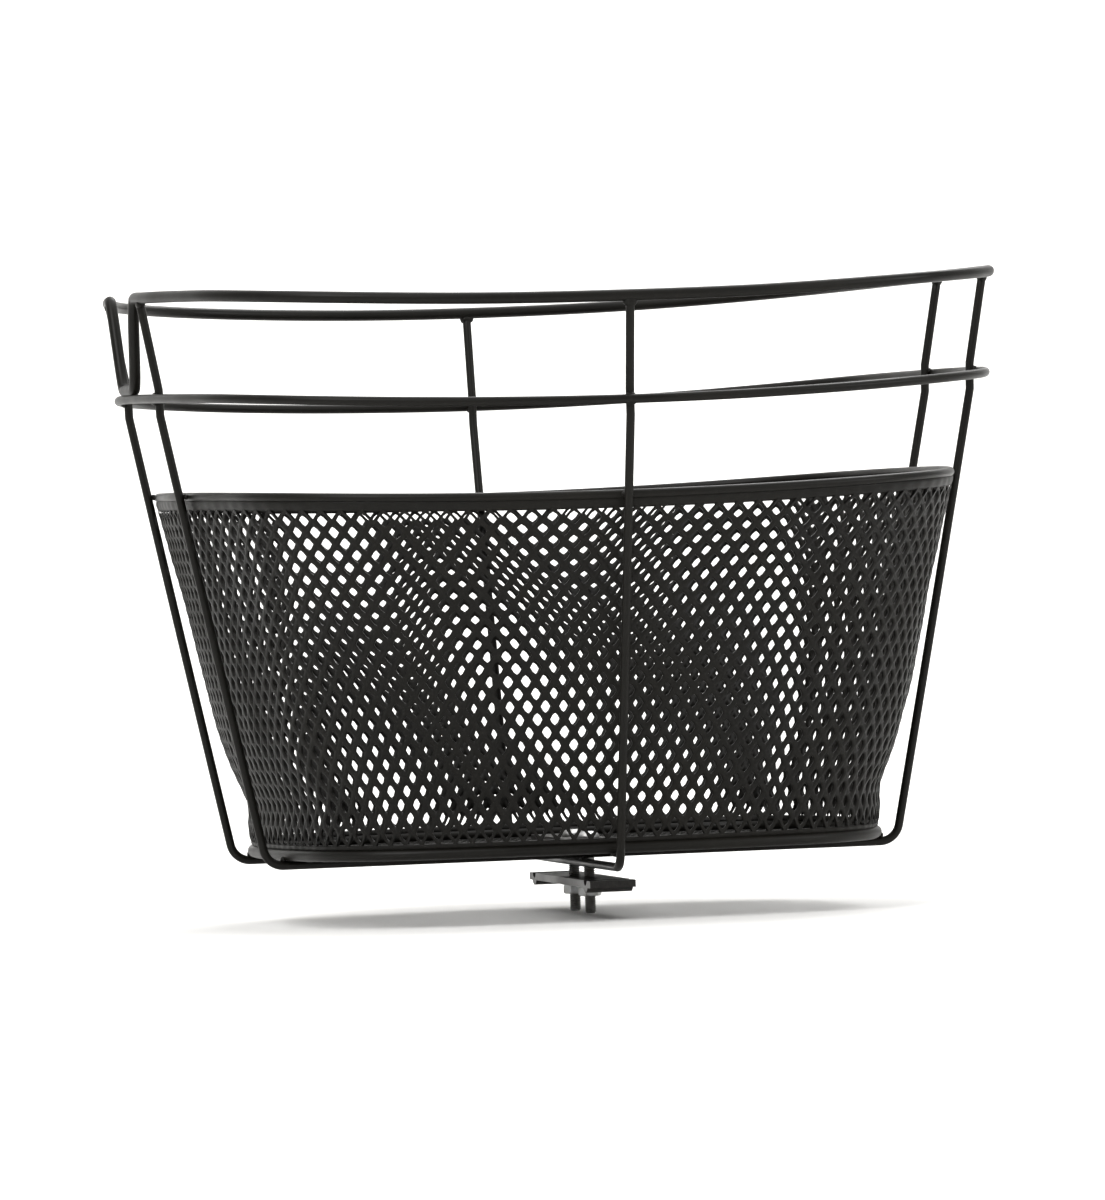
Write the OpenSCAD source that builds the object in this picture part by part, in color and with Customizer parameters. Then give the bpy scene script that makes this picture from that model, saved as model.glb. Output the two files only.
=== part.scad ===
// Wire and expanded-metal bicycle front basket with its carrier clamp.
// +X is the front of the basket, +Y its left side, +Z up.
// The origin is on the seat plane under the middle of the floor, level with the underside of the cross hoop, where it rests on the carrier.

/* [Basket size] */
// Half length at the rim, wire centre, front and rear
rim_a = 149.5; // [100:0.5:200]
// Half width at the rim, wire centre, left and right
rim_b = 155; // [100:1:200]
// Height of the rim wire's centre
rim_z = 197.5; // [120:0.5:300]
// Half length of the hoops at the middle ring
mid_a = 144; // [100:1:200]
// Half width of the hoops at the middle ring
mid_b = 149; // [100:1:200]
// Height of the middle ring's centre
mid_z = 162.5; // [100:0.5:260]
// Half length of the hoops at the foot of the wall
foot_a = 114; // [80:1:180]
// Half width of the hoops at the foot of the wall
foot_b = 104; // [80:1:180]
// Height at which the foot size is measured
foot_z = 6; // [4:1:10]

/* [Wires] */
// Rim wire diameter
rim_d = 4; // [3:0.1:6]
// Hoop wire diameter
hoop_d = 3; // [2.5:0.1:5]
// Middle ring wire diameter
mid_d = 3.2; // [2.5:0.1:5]
// Diameter of the wire at the top of the wall
top_d = 3.2; // [2.5:0.1:5]
// Floor ring wire diameter
base_d = 4; // [3:0.1:6]
// Bend radius of the hoops where wall turns to floor
bend_r = 7; // [5:0.5:20]
// Distance of the two long hoops from the middle
hoop_y = 36; // [20:1:60]
// Gap left at each welded crossing
weld_gap = 0.1; // [0.02:0.01:0.2]
// How far the rim dips in the middle of its length, end to middle
sag = 5.5; // [0:0.5:10]

/* [Rear cable drop] */
// Height of the lowered part of the rim
drop_z = 166.2; // [145:0.1:200]
// Half width of the lowered flat part
drop_y = 13; // [8:1:25]
// Half width where the rim starts to drop
drop_top_y = 29; // [24:1:34]

/* [Wall and floor] */
// Height of the top wire of the wall
top_z = 130.5; // [100:0.5:150]
// Depth of the folded top edge
top_hem_h = 3; // [2:0.5:12]
// Depth of the solid edge at the foot
foot_hem_h = 1.5; // [1:0.5:14]
// Thickness of the folded edges
hem_t = 2; // [1:0.1:3]
// Thickness of the expanded metal as equal solid sheet
mesh_t = 0.8; // [0.5:0.1:1.5]
// Width of the rear lap strip
seam_w = 14; // [8:1:20]

/* [Clamp] */
// Distance of the carrier tubes from the middle
rail_y = 48; // [30:1:60]
// Radius of the carrier tubes
rail_r = 3; // [2:0.5:8]
// Position of the clamp along the basket
clamp_x = 6; // [-40:1:40]
// Width of both clamp bars
bar_w = 16; // [10:1:25]
// Half length of the lower clamp bar
bar_l = 57; // [50:1:70]
// Thickness of the lower clamp bar
bar_t = 2.5; // [1.5:0.1:4]
// Distance of the bolts from the middle
bolt_y = 14; // [10:1:32]
// Bolt diameter
bolt_d = 4; // [3:0.5:6]
// Bolt shank length under the head
bolt_l = 26; // [20:1:45]

/* [Hidden] */
$fn = 64;
e = 0.01;
hr = hoop_d / 2;
// the hoops lie in two layers: the cross hoop at the bottom, the two long hoops on it
cross_z = hr + 0.1;
long_z = cross_z + hoop_d + weld_gap;
floor_z = 2 * hoop_d + 2 * weld_gap + 0.1;
base_z = floor_z + base_d / 2;
// half sizes of the tapered hoops at any height up to the middle ring
function ha(z) = foot_a + (z - foot_z) * (mid_a - foot_a) / (mid_z - foot_z);
function hb(z) = foot_b + (z - foot_z) * (mid_b - foot_b) / (mid_z - foot_z);
// the outline of the basket is eight arcs: a bowed front, rear and two sides, and four corners
function ok(a, b) = (a + b) / 300;
function orc(a, b) = 70 * ok(a, b);
function ocx(a, b) = a - 80 * ok(a, b);
function ocy(a, b) = b - 80 * ok(a, b);
function ofx(a, b) = (pow(a - orc(a, b), 2) - pow(ocx(a, b), 2) - pow(ocy(a, b), 2)) / (20 * ok(a, b));
function ofy(a, b) = (pow(b - orc(a, b), 2) - pow(ocx(a, b), 2) - pow(ocy(a, b), 2)) / (20 * ok(a, b));
function phf(a, b) = atan2(ocy(a, b), ocx(a, b) - ofx(a, b));
function phs(a, b) = atan2(ocx(a, b), ocy(a, b) - ofy(a, b));
// X of the outline's front at a given Y
function xf(a, b, y) = ofx(a, b) + sqrt(pow(a - ofx(a, b), 2) - y * y);
function arc(cx, cy, r, a0, a1, n) = [for (i = [0:n - 1]) let (t = a0 + (a1 - a0) * i / n) [cx + r * cos(t), cy + r * sin(t)]];
function outline(a, b) = concat(
    arc(ofx(a, b), 0, a - ofx(a, b), -phf(a, b), phf(a, b), 8),
    arc(ocx(a, b), ocy(a, b), orc(a, b), phf(a, b), 90 - phs(a, b), 14),
    arc(0, ofy(a, b), b - ofy(a, b), 90 - phs(a, b), 90 + phs(a, b), 8),
    arc(-ocx(a, b), ocy(a, b), orc(a, b), 90 + phs(a, b), 180 - phf(a, b), 14),
    arc(-ofx(a, b), 0, a - ofx(a, b), 180 - phf(a, b), 180 + phf(a, b), 8),
    arc(-ocx(a, b), -ocy(a, b), orc(a, b), 180 + phf(a, b), 270 - phs(a, b), 14),
    arc(0, -ofy(a, b), b - ofy(a, b), 270 - phs(a, b), 270 + phs(a, b), 8),
    arc(ocx(a, b), -ocy(a, b), orc(a, b), 270 + phs(a, b), 360 - phf(a, b), 14));

mid_off = hr + mid_d / 2 + weld_gap;
top_off = hr + top_d / 2 + 0.1;
// the floor ring nests in the bends of the hoops
base_a = foot_a - 6.9;
base_b = foot_b - 8.5;
hem_z0 = base_z + base_d / 2 + 0.1;
hem_z1 = hem_z0 + foot_hem_h;
hem_t1 = top_z - top_d / 2 - weld_gap;
hem_t0 = hem_t1 - top_hem_h;
// outer half sizes of the wall at its foot and at its top
wall_a0 = base_a + 0.4;
wall_b0 = base_b + 1.2;
wall_a1 = ha(hem_t0) - hr - 0.35;
wall_b1 = hb(hem_t0) - hr - 0.35;
function wa(z) = wall_a0 + (z - hem_z0) * (wall_a1 - wall_a0) / (hem_t0 - hem_z0);
function wb(z) = wall_b0 + (z - hem_z0) * (wall_b1 - wall_b0) / (hem_t0 - hem_z0);
plate_z = floor_z + mesh_t + 0.05;
plate_t = 2;
saddle_a = 65;
bar_top = -rail_r - rail_r * cos(saddle_a);
nut_h = 3.2;
washer_t = 0.8;
washer_z = bar_top - bar_t - 0.02;
nut_z = washer_z - washer_t - 0.02;
bolt_head_z = plate_z + plate_t + 0.02;

powder = [0.10, 0.10, 0.095];
zinc = [0.62, 0.63, 0.64];

// the rings and the wall dip in the middle of the basket's length and rise at its two ends, more so towards the rim
function sag_at(z) = sag * min(1, max(0, (z - foot_z) / (mid_z - foot_z)));
function bent(p) = [p[0], p[1], p[2] + sag_at(p[2]) * (pow(p[0] / 140, 2) - 0.5)];
function unit(v) = v / norm(v);
function smooth(t) = t * t * (3 - 2 * t);

// round wire along a path; ref is a direction that the path never takes
module tube(path, d, ref, closed) {
    n = len(path);
    m = 10;
    r = d / 2 * 1.015;
    pts = [for (i = [0:n - 1]) let (
            p0 = path[closed ? (i + n - 1) % n : max(i - 1, 0)],
            p1 = path[closed ? (i + 1) % n : min(i + 1, n - 1)],
            t = unit(p1 - p0), u = unit(cross(t, ref)), v = cross(u, t))
            for (j = [0:m - 1]) path[i] + r * (cos(360 * j / m) * u + sin(360 * j / m) * v)];
    last = closed ? n - 1 : n - 2;
    sides = [for (i = [0:last]) for (j = [0:m - 1]) let (
            a = i * m + j, b = i * m + (j + 1) % m,
            c = ((i + 1) % n) * m + (j + 1) % m, e1 = ((i + 1) % n) * m + j)
            for (f = [[a, b, c], [a, c, e1]]) f];
    caps = closed ? [] : [[for (j = [0:m - 1]) m - 1 - j], [for (j = [0:m - 1]) (n - 1) * m + j]];
    polyhedron(points = pts, faces = concat(sides, caps), convexity = 6);
}

// closed ring of wire at one height
module ring(a, b, z, d) {
    tube([for (q = outline(a, b)) bent([q[0], q[1], z])], d, [0, 0, 1], true);
}

// path of a U-shaped hoop in the XZ plane; x0, xm and xt are its half lengths at the foot, the middle ring and the rim
function half_hoop(x0, xm, xt, zc) =
    let (th = atan2(mid_z - foot_z, xm - x0),
        xp = x0 - (foot_z - zc) / tan(th),
        t = bend_r * tan(th / 2),
        ztop = rim_z - rim_d / 2 - weld_gap)
    concat([for (x = [0:20:60]) [x, 0, zc]],
        [for (k = [0:8]) [xp - t + bend_r * sin(th * k / 8), 0, zc + bend_r * (1 - cos(th * k / 8))]],
        [for (k = [1:4]) let (q0 = [xp + t * cos(th), 0, zc + t * sin(th)]) q0 + ([xm, 0, mid_z - 4] - q0) * k / 4],
        [[xm + 0.1, 0, mid_z + 4], [xt, 0, ztop]]);

module hoop(x0, xm, xt, zc, y, along_y) {
    h = half_hoop(x0, xm, xt, zc);
    n = len(h);
    flat = concat([for (i = [0:n - 2]) [-h[n - 1 - i][0], y, h[n - 1 - i][2]]], [for (q = h) [q[0], y, q[2]]]);
    turned = along_y ? [for (q = flat) [-q[1], q[0], q[2]]] : flat;
    tube([for (q = turned) bent(q)], hoop_d, along_y ? [1, 0, 0] : [0, 1, 0], false);
}

module long_hoop(y) {
    hoop(xf(foot_a, foot_b, hoop_y), xf(mid_a, mid_b, hoop_y), xf(rim_a, rim_b, hoop_y), long_z, y, false);
}

// a thin closed band of wall between two heights, outer half sizes given at both
module band(a0, b0, z0, a1, b1, z1, t, rows) {
    n = len(outline(a0, b0));
    ang = [for (k = [0:rows]) let (f = k / rows, o = outline(a0 + (a1 - a0) * f, b0 + (b1 - b0) * f), z = z0 + (z1 - z0) * f) [for (q = o) bent([q[0], q[1], z])]];
    inn = [for (k = [0:rows]) let (f = 1 - k / rows, o = outline(a0 + (a1 - a0) * f - t, b0 + (b1 - b0) * f - t), z = z0 + (z1 - z0) * f) [for (q = o) bent([q[0], q[1], z])]];
    loops = concat(ang, inn);
    m = len(loops);
    pts = [for (l = loops) for (q = l) q];
    faces = [for (k = [0:m - 1]) for (i = [0:n - 1]) let (
            a = k * n + i, b = k * n + (i + 1) % n,
            c = ((k + 1) % m) * n + (i + 1) % n, e1 = ((k + 1) % m) * n + i)
            for (f = [[a, c, b], [a, e1, c]]) f];
    polyhedron(points = pts, faces = faces, convexity = 6);
}

// ---- sub-parts ----

module rim_wire() {
    o = outline(rim_a, rim_b);
    half = [for (q = o) if (q[1] > 0 && !(q[0] < 0 && q[1] < drop_top_y + 2)) [q[0], q[1], rim_z]];
    steps = 9;
    down = [for (k = [0:steps]) let (
            t = k / steps, y = drop_top_y + (drop_y - 2 - drop_top_y) * t,
            x = xf(rim_a, rim_b, y) + (mid_a + mid_off - rim_a) * smooth(t))
            [-x, y, rim_z + (drop_z - rim_z) * smooth(t)]];
    left = concat(half, down);
    n = len(left);
    path = concat([[rim_a, 0, rim_z]], left, [for (i = [0:n - 1]) [left[n - 1 - i][0], -left[n - 1 - i][1], left[n - 1 - i][2]]]);
    color(powder) tube([for (q = path) bent(q)], rim_d, [0, 0, 1], true);
}

module mid_ring() {
    color(powder) ring(mid_a + mid_off, mid_b + mid_off, mid_z, mid_d);
}

module mesh_top_ring() {
    color(powder) ring(ha(top_z) - top_off, hb(top_z) - top_off, top_z, top_d);
}

module base_ring() {
    color(powder) ring(base_a, base_b, base_z, base_d);
}

module cross_hoop() {
    color(powder) hoop(foot_b, mid_b, rim_b, cross_z, 0, true);
}

module long_hoop_left() {
    color(powder) long_hoop(hoop_y);
}

module long_hoop_right() {
    color(powder) long_hoop(-hoop_y);
}

module mesh_wall() {
    z0 = hem_z1 + 0.1;
    z1 = hem_t0 - 0.1;
    color(powder) band(wa(z0), wb(z0), z0, wa(z1), wb(z1), z1, mesh_t, 4);
}

module mesh_top_hem() {
    color(powder) band(wa(hem_t0), wb(hem_t0), hem_t0, wa(hem_t1), wb(hem_t1), hem_t1, hem_t, 1);
}

module mesh_bottom_hem() {
    color(powder) band(wa(hem_z0), wb(hem_z0), hem_z0, wa(hem_z1), wb(hem_z1), hem_z1, hem_t, 1);
}

module mesh_floor() {
    color(powder) translate([0, 0, floor_z]) difference() {
        linear_extrude(height = mesh_t) polygon(outline(base_a - base_d / 2 - 0.3, base_b - base_d / 2 - 0.3));
        for (s = [-1, 1]) translate([clamp_x, s * bolt_y, -1]) cylinder(h = mesh_t + 2, d = bolt_d + 0.6);
    }
}

// narrow strip inside the rear wall, over the lap of the band's two ends
module mesh_seam() {
    z0 = hem_z1 + 0.4;
    z1 = hem_t0 - 0.4;
    th = atan2(z1 - z0, wa(z1) - wa(z0));
    off = mesh_t + 0.25;
    color(powder) rotate([90, 0, 0]) translate([0, 0, -seam_w / 2]) linear_extrude(height = seam_w)
        polygon([[-wa(z0) + off + 0.5, z0], [-wa(z0) + off + 1.3, z0], [-wa(z1) + off + 1.3, z1], [-wa(z1) + off + 0.5, z1]]);
}

module floor_plate() {
    color(powder) translate([clamp_x, 0, plate_z]) difference() {
        translate([-bar_w / 2, -bar_l + 6, 0]) cube([bar_w, 2 * bar_l - 12, plate_t]);
        for (s = [-1, 1]) translate([0, s * bolt_y, -1]) cylinder(h = plate_t + 2, d = bolt_d + 0.1);
    }
}

// lower bar with a round saddle for each carrier tube
module clamp_bar() {
    ro = rail_r + bar_t;
    color(powder) difference() {
        translate([clamp_x - bar_w / 2, 0, 0]) rotate([90, 0, 90]) linear_extrude(height = bar_w) difference() {
            union() {
                translate([-bar_l, bar_top - bar_t]) square([2 * bar_l, bar_t]);
                for (s = [-1, 1]) translate([s * rail_y, -rail_r]) intersection() {
                    circle(r = ro);
                    translate([-ro - 1, -ro - 1]) square([2 * ro + 2, ro + 1 + bar_top + rail_r]);
                }
            }
            for (s = [-1, 1]) translate([s * rail_y, -rail_r]) circle(r = rail_r);
        }
        for (s = [-1, 1]) translate([clamp_x, s * bolt_y, bar_top - bar_t - 1]) cylinder(h = bar_t + 2, d = bolt_d + 0.1);
    }
}

module clamp_bolt(s) {
    translate([clamp_x, s * bolt_y, bolt_head_z]) {
        translate([0, 0, -bolt_l]) cylinder(h = bolt_l + e, d = bolt_d);
        difference() {
            intersection() {
                cylinder(h = 2.6, d = 8);
                translate([0, 0, -3.2]) sphere(r = 5.8, $fn = 64);
            }
            translate([-0.5, -2.4, 1.5]) cube([1, 4.8, 3]);
            translate([-2.4, -0.5, 1.5]) cube([4.8, 1, 3]);
        }
    }
}

module clamp_bolt_left() {
    color(zinc) clamp_bolt(1);
}

module clamp_bolt_right() {
    color(zinc) clamp_bolt(-1);
}

module clamp_washer(s) {
    translate([clamp_x, s * bolt_y, washer_z - washer_t]) difference() {
        cylinder(h = washer_t, d = 9);
        translate([0, 0, -1]) cylinder(h = washer_t + 2, d = bolt_d + 0.2);
    }
}

module clamp_washer_left() {
    color(zinc) clamp_washer(1);
}

module clamp_washer_right() {
    color(zinc) clamp_washer(-1);
}

module clamp_nut(s) {
    translate([clamp_x, s * bolt_y, nut_z - nut_h]) difference() {
        linear_extrude(height = nut_h) polygon([for (i = [0:5]) [3.5 / cos(30) * cos(60 * i), 3.5 / cos(30) * sin(60 * i)]]);
        translate([0, 0, -1]) cylinder(h = nut_h + 2, d = bolt_d + 0.1);
    }
}

module clamp_nut_left() {
    color(zinc) clamp_nut(1);
}

module clamp_nut_right() {
    color(zinc) clamp_nut(-1);
}

rim_wire();
mid_ring();
mesh_top_ring();
base_ring();
cross_hoop();
long_hoop_left();
long_hoop_right();
mesh_wall();
mesh_floor();
mesh_top_hem();
mesh_bottom_hem();
mesh_seam();
floor_plate();
clamp_bar();
clamp_bolt_left();
clamp_bolt_right();
clamp_washer_left();
clamp_washer_right();
clamp_nut_left();
clamp_nut_right();
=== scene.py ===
import bpy, bmesh, math
from mathutils import Vector, Matrix, noise


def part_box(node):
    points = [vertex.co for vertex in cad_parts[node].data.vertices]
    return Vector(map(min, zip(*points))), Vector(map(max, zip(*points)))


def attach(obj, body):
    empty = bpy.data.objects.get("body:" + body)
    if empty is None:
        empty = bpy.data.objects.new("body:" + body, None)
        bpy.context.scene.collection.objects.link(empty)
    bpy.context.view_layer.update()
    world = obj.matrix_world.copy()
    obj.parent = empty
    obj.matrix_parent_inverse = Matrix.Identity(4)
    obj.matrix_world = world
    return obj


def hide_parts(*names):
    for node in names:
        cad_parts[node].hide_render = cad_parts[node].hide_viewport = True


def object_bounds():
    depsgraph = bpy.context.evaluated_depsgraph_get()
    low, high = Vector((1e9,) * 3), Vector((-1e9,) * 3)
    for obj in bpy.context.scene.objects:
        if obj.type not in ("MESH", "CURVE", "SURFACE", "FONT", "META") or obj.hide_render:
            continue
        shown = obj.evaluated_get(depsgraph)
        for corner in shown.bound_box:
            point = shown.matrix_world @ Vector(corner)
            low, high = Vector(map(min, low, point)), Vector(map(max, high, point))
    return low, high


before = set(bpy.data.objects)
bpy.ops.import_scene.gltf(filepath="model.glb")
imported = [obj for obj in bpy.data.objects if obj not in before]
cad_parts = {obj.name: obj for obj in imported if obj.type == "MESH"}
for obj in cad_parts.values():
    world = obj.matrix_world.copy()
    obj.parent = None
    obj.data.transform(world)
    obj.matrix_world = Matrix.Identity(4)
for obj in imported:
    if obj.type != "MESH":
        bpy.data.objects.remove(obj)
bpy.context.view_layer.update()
MM = 0.001
BODY = "basket"

# ---------------------------------------------------------------- dimensions, in mm, as in part.scad
RIM_A, RIM_B, RIM_Z = 149.5, 155.0, 197.5
MID_A, MID_B, MID_Z = 144.0, 149.0, 162.5
FOOT_A, FOOT_B, FOOT_Z = 114.0, 104.0, 6.0
RIM_D, HOOP_D, MID_D, TOP_D, BASE_D = 4.0, 3.0, 3.2, 3.2, 4.0
BEND_R, HOOP_Y, GAP, SAG = 7.0, 36.0, 0.1, 5.5
DROP_Z, DROP_Y, DROP_TOP_Y = 166.2, 13.0, 29.0
TOP_Z, TOP_HEM_H, FOOT_HEM_H, HEM_T, MESH_T, SEAM_W = 130.5, 3.0, 1.5, 2.0, 0.8, 14.0
CLAMP_X, BAR_W, BOLT_Y, BOLT_D, BOLT_L = 6.0, 16.0, 14.0, 4.0, 26.0
HR = HOOP_D / 2
CROSS_Z = HR + 0.1
LONG_Z = CROSS_Z + HOOP_D + GAP
FLOOR_Z = 2 * HOOP_D + 2 * GAP + 0.1
BASE_Z = FLOOR_Z + BASE_D / 2
MID_OFF = HR + MID_D / 2 + GAP
TOP_OFF = HR + TOP_D / 2 + 0.1
BASE_A, BASE_B = FOOT_A - 6.9, FOOT_B - 8.5
HEM_Z0 = BASE_Z + BASE_D / 2 + 0.1
HEM_Z1 = HEM_Z0 + FOOT_HEM_H
HEM_T1 = TOP_Z - TOP_D / 2 - GAP
HEM_T0 = HEM_T1 - TOP_HEM_H


def ha(z):
    return FOOT_A + (z - FOOT_Z) * (MID_A - FOOT_A) / (MID_Z - FOOT_Z)


def hb(z):
    return FOOT_B + (z - FOOT_Z) * (MID_B - FOOT_B) / (MID_Z - FOOT_Z)


WALL_A0, WALL_B0 = BASE_A + 0.4, BASE_B + 1.2
WALL_A1, WALL_B1 = ha(HEM_T0) - HR - 0.35, hb(HEM_T0) - HR - 0.35


def wa(z):
    return WALL_A0 + (z - HEM_Z0) * (WALL_A1 - WALL_A0) / (HEM_T0 - HEM_Z0)


def wb(z):
    return WALL_B0 + (z - HEM_Z0) * (WALL_B1 - WALL_B0) / (HEM_T0 - HEM_Z0)


class Outline:
    """Eight arcs: bowed front, rear and sides, and four corners. on(i, f) gives a point on arc i and the outward
    normal.
    """

    def __init__(self, a, b):
        k = (a + b) / 300
        rc, cx, cy = 70 * k, a - 80 * k, b - 80 * k
        fx = ((a - rc) ** 2 - cx**2 - cy**2) / (20 * k)
        fy = ((b - rc) ** 2 - cx**2 - cy**2) / (20 * k)
        pf, ps = math.atan2(cy, cx - fx), math.atan2(cx, cy - fy)
        h = math.pi / 2
        self.fx, self.a = fx, a
        self.arcs = [
            (fx, 0, a - fx, 0, pf), (cx, cy, rc, pf, h - ps), (0, fy, b - fy, h - ps, h + ps),
            (-cx, cy, rc, h + ps, 2 * h - pf), (-fx, 0, a - fx, 2 * h - pf, 2 * h + pf),
            (-cx, -cy, rc, 2 * h + pf, 3 * h - ps), (0, -fy, b - fy, 3 * h - ps, 3 * h + ps),
            (cx, -cy, rc, 3 * h + ps, 4 * h - pf), (fx, 0, a - fx, 4 * h - pf, 4 * h),
        ]
        self.lens = [r * (t1 - t0) for _, _, r, t0, t1 in self.arcs]
        self.total = sum(self.lens)

    def on(self, i, f):
        x, y, r, t0, t1 = self.arcs[i]
        t = t0 + (t1 - t0) * f
        return x + r * math.cos(t), y + r * math.sin(t), math.cos(t), math.sin(t)

    def xf(self, y):
        return self.fx + math.sqrt((self.a - self.fx) ** 2 - y * y)


REF = Outline(wa(70), wb(70))
CUM = [0.0]
for _l in REF.lens:
    CUM.append(CUM[-1] + _l)


def split(u):
    """u in [0, 1) round the basket, starting at the front: (arc, share of it)."""
    s = (u % 1.0) * REF.total
    for i in range(9):
        if s <= CUM[i + 1] or i == 8:
            return i, min(1.0, (s - CUM[i]) / REF.lens[i])


def sag_at(z):
    return SAG * min(1.0, max(0.0, (z - FOOT_Z) / (MID_Z - FOOT_Z)))


def bent(x, y, z):
    return Vector((x, y, z + sag_at(z) * ((x / 140) ** 2 - 0.5)))


def xf(a, b, y):
    return Outline(a, b).xf(y)


def smooth(t):
    return t * t * (3 - 2 * t)


def wob(p, scale, seed=0.0):
    """Slow seeded noise from -1 to 1."""
    return noise.noise(Vector((p[0] / scale + seed, p[1] / scale - seed, p[2] / scale + 2 * seed)))


# ---------------------------------------------------------------- mesh helpers


def obj_from(name, verts, faces, mats, body=BODY, replaces=(), shade=True, mat_index=None):
    me = bpy.data.meshes.new(name)
    me.from_pydata([tuple(v * MM) for v in verts], [], faces)
    me.validate()
    me.update()
    o = bpy.data.objects.new(name, me)
    bpy.context.scene.collection.objects.link(o)
    for m in mats if isinstance(mats, (list, tuple)) else [mats]:
        me.materials.append(m)
    if mat_index:
        me.polygons.foreach_set("material_index", mat_index)
    if shade:
        me.polygons.foreach_set("use_smooth", [True] * len(me.polygons))
    me.update()
    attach(o, body)
    for n in replaces:
        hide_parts(n)
    return o


def tube(path, d, ref, closed, sides=18, jitter=0.0, seed=1.0, round_ends=True):
    """Round wire along a path of Vectors, in mm. Its ends are rounded off."""
    ref = Vector(ref)
    n = len(path)
    rings = []
    for i in range(n):
        p0 = path[(i - 1) % n] if closed else path[max(i - 1, 0)]
        p1 = path[(i + 1) % n] if closed else path[min(i + 1, n - 1)]
        t = (p1 - p0).normalized()
        u = t.cross(ref).normalized()
        v = u.cross(t)
        r = d / 2
        rings.append((path[i], t, u, v, r))
    if not closed and round_ends:
        extra = []
        p, t, u, v, r = rings[0]
        for k in range(3, 0, -1):
            a = math.pi / 2 * k / 3.3
            extra.append((p + t * (r * 0.5 * (1 - math.sin(a))), t, u, v, r * math.cos(a)))
        first = extra
        rings[0] = (p + t * r * 0.5, t, u, v, r)
        extra = []
        p, t, u, v, r = rings[-1]
        for k in range(1, 4):
            a = math.pi / 2 * k / 3.3
            extra.append((p - t * (r * 0.5 * (1 - math.sin(a))), t, u, v, r * math.cos(a)))
        rings[-1] = (p - t * r * 0.5, t, u, v, r)
        rings = first + rings + extra
    verts, faces = [], []
    for p, t, u, v, r in rings:
        for j in range(sides):
            a = 2 * math.pi * j / sides
            q = u * math.cos(a) + v * math.sin(a)
            rr = r * (1 + jitter * wob(p + q * r, 6.0, seed))
            verts.append(p + q * rr)
    m = len(rings)
    for i in range(m if closed else m - 1):
        for j in range(sides):
            k = (j + 1) % sides
            i2 = (i + 1) % m
            faces.append((i * sides + j, i2 * sides + j, i2 * sides + k, i * sides + k))
    if not closed:
        faces.append(tuple(range(sides)))
        faces.append(tuple((m - 1) * sides + sides - 1 - j for j in range(sides)))
    return verts, faces


def join(parts):
    verts, faces = [], []
    for v, f in parts:
        b = len(verts)
        verts += v
        faces += [tuple(i + b for i in q) for q in f]
    return verts, faces


def resample(path, step, closed=False):
    """Points at even distances along a smooth Catmull-Rom curve through the path."""
    n = len(path)
    dense = []
    last = n if closed else n - 1
    for i in range(last):
        p0 = path[(i - 1) % n] if closed or i > 0 else path[0]
        p1, p2 = path[i], path[(i + 1) % n]
        p3 = path[(i + 2) % n] if closed or i + 2 < n else path[-1]
        for k in range(12):
            t = k / 12
            dense.append(0.5 * ((2 * p1) + (p2 - p0) * t + (2 * p0 - 5 * p1 + 4 * p2 - p3) * t * t + (3 * p1 - p0 - 3 * p2 + p3) * t**3))
    if not closed:
        dense.append(path[-1])
    out, left = [dense[0]], step
    seq = dense[1:] + ([dense[0]] if closed else [])
    cur = dense[0]
    for q in seq:
        seg = (q - cur).length
        while seg > left:
            cur = cur + (q - cur) * (left / seg)
            out.append(cur)
            seg = (q - cur).length
            left = step
        left -= seg
        cur = q
    if closed:
        if (out[-1] - out[0]).length < step * 0.6:
            out.pop()
    elif (out[-1] - path[-1]).length < step * 0.4:
        out[-1] = path[-1]
    else:
        out.append(path[-1])
    return out


# ---------------------------------------------------------------- materials


def nodes_of(name):
    m = bpy.data.materials.new(name)
    m.use_nodes = True
    nt = m.node_tree
    nt.nodes.clear()
    out = nt.nodes.new("ShaderNodeOutputMaterial")
    b = nt.nodes.new("ShaderNodeBsdfPrincipled")
    nt.links.new(b.outputs[0], out.inputs[0])
    return m, nt, b


def add(nt, kind, **kw):
    n = nt.nodes.new(kind)
    for k, v in kw.items():
        setattr(n, k, v)
    return n


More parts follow.
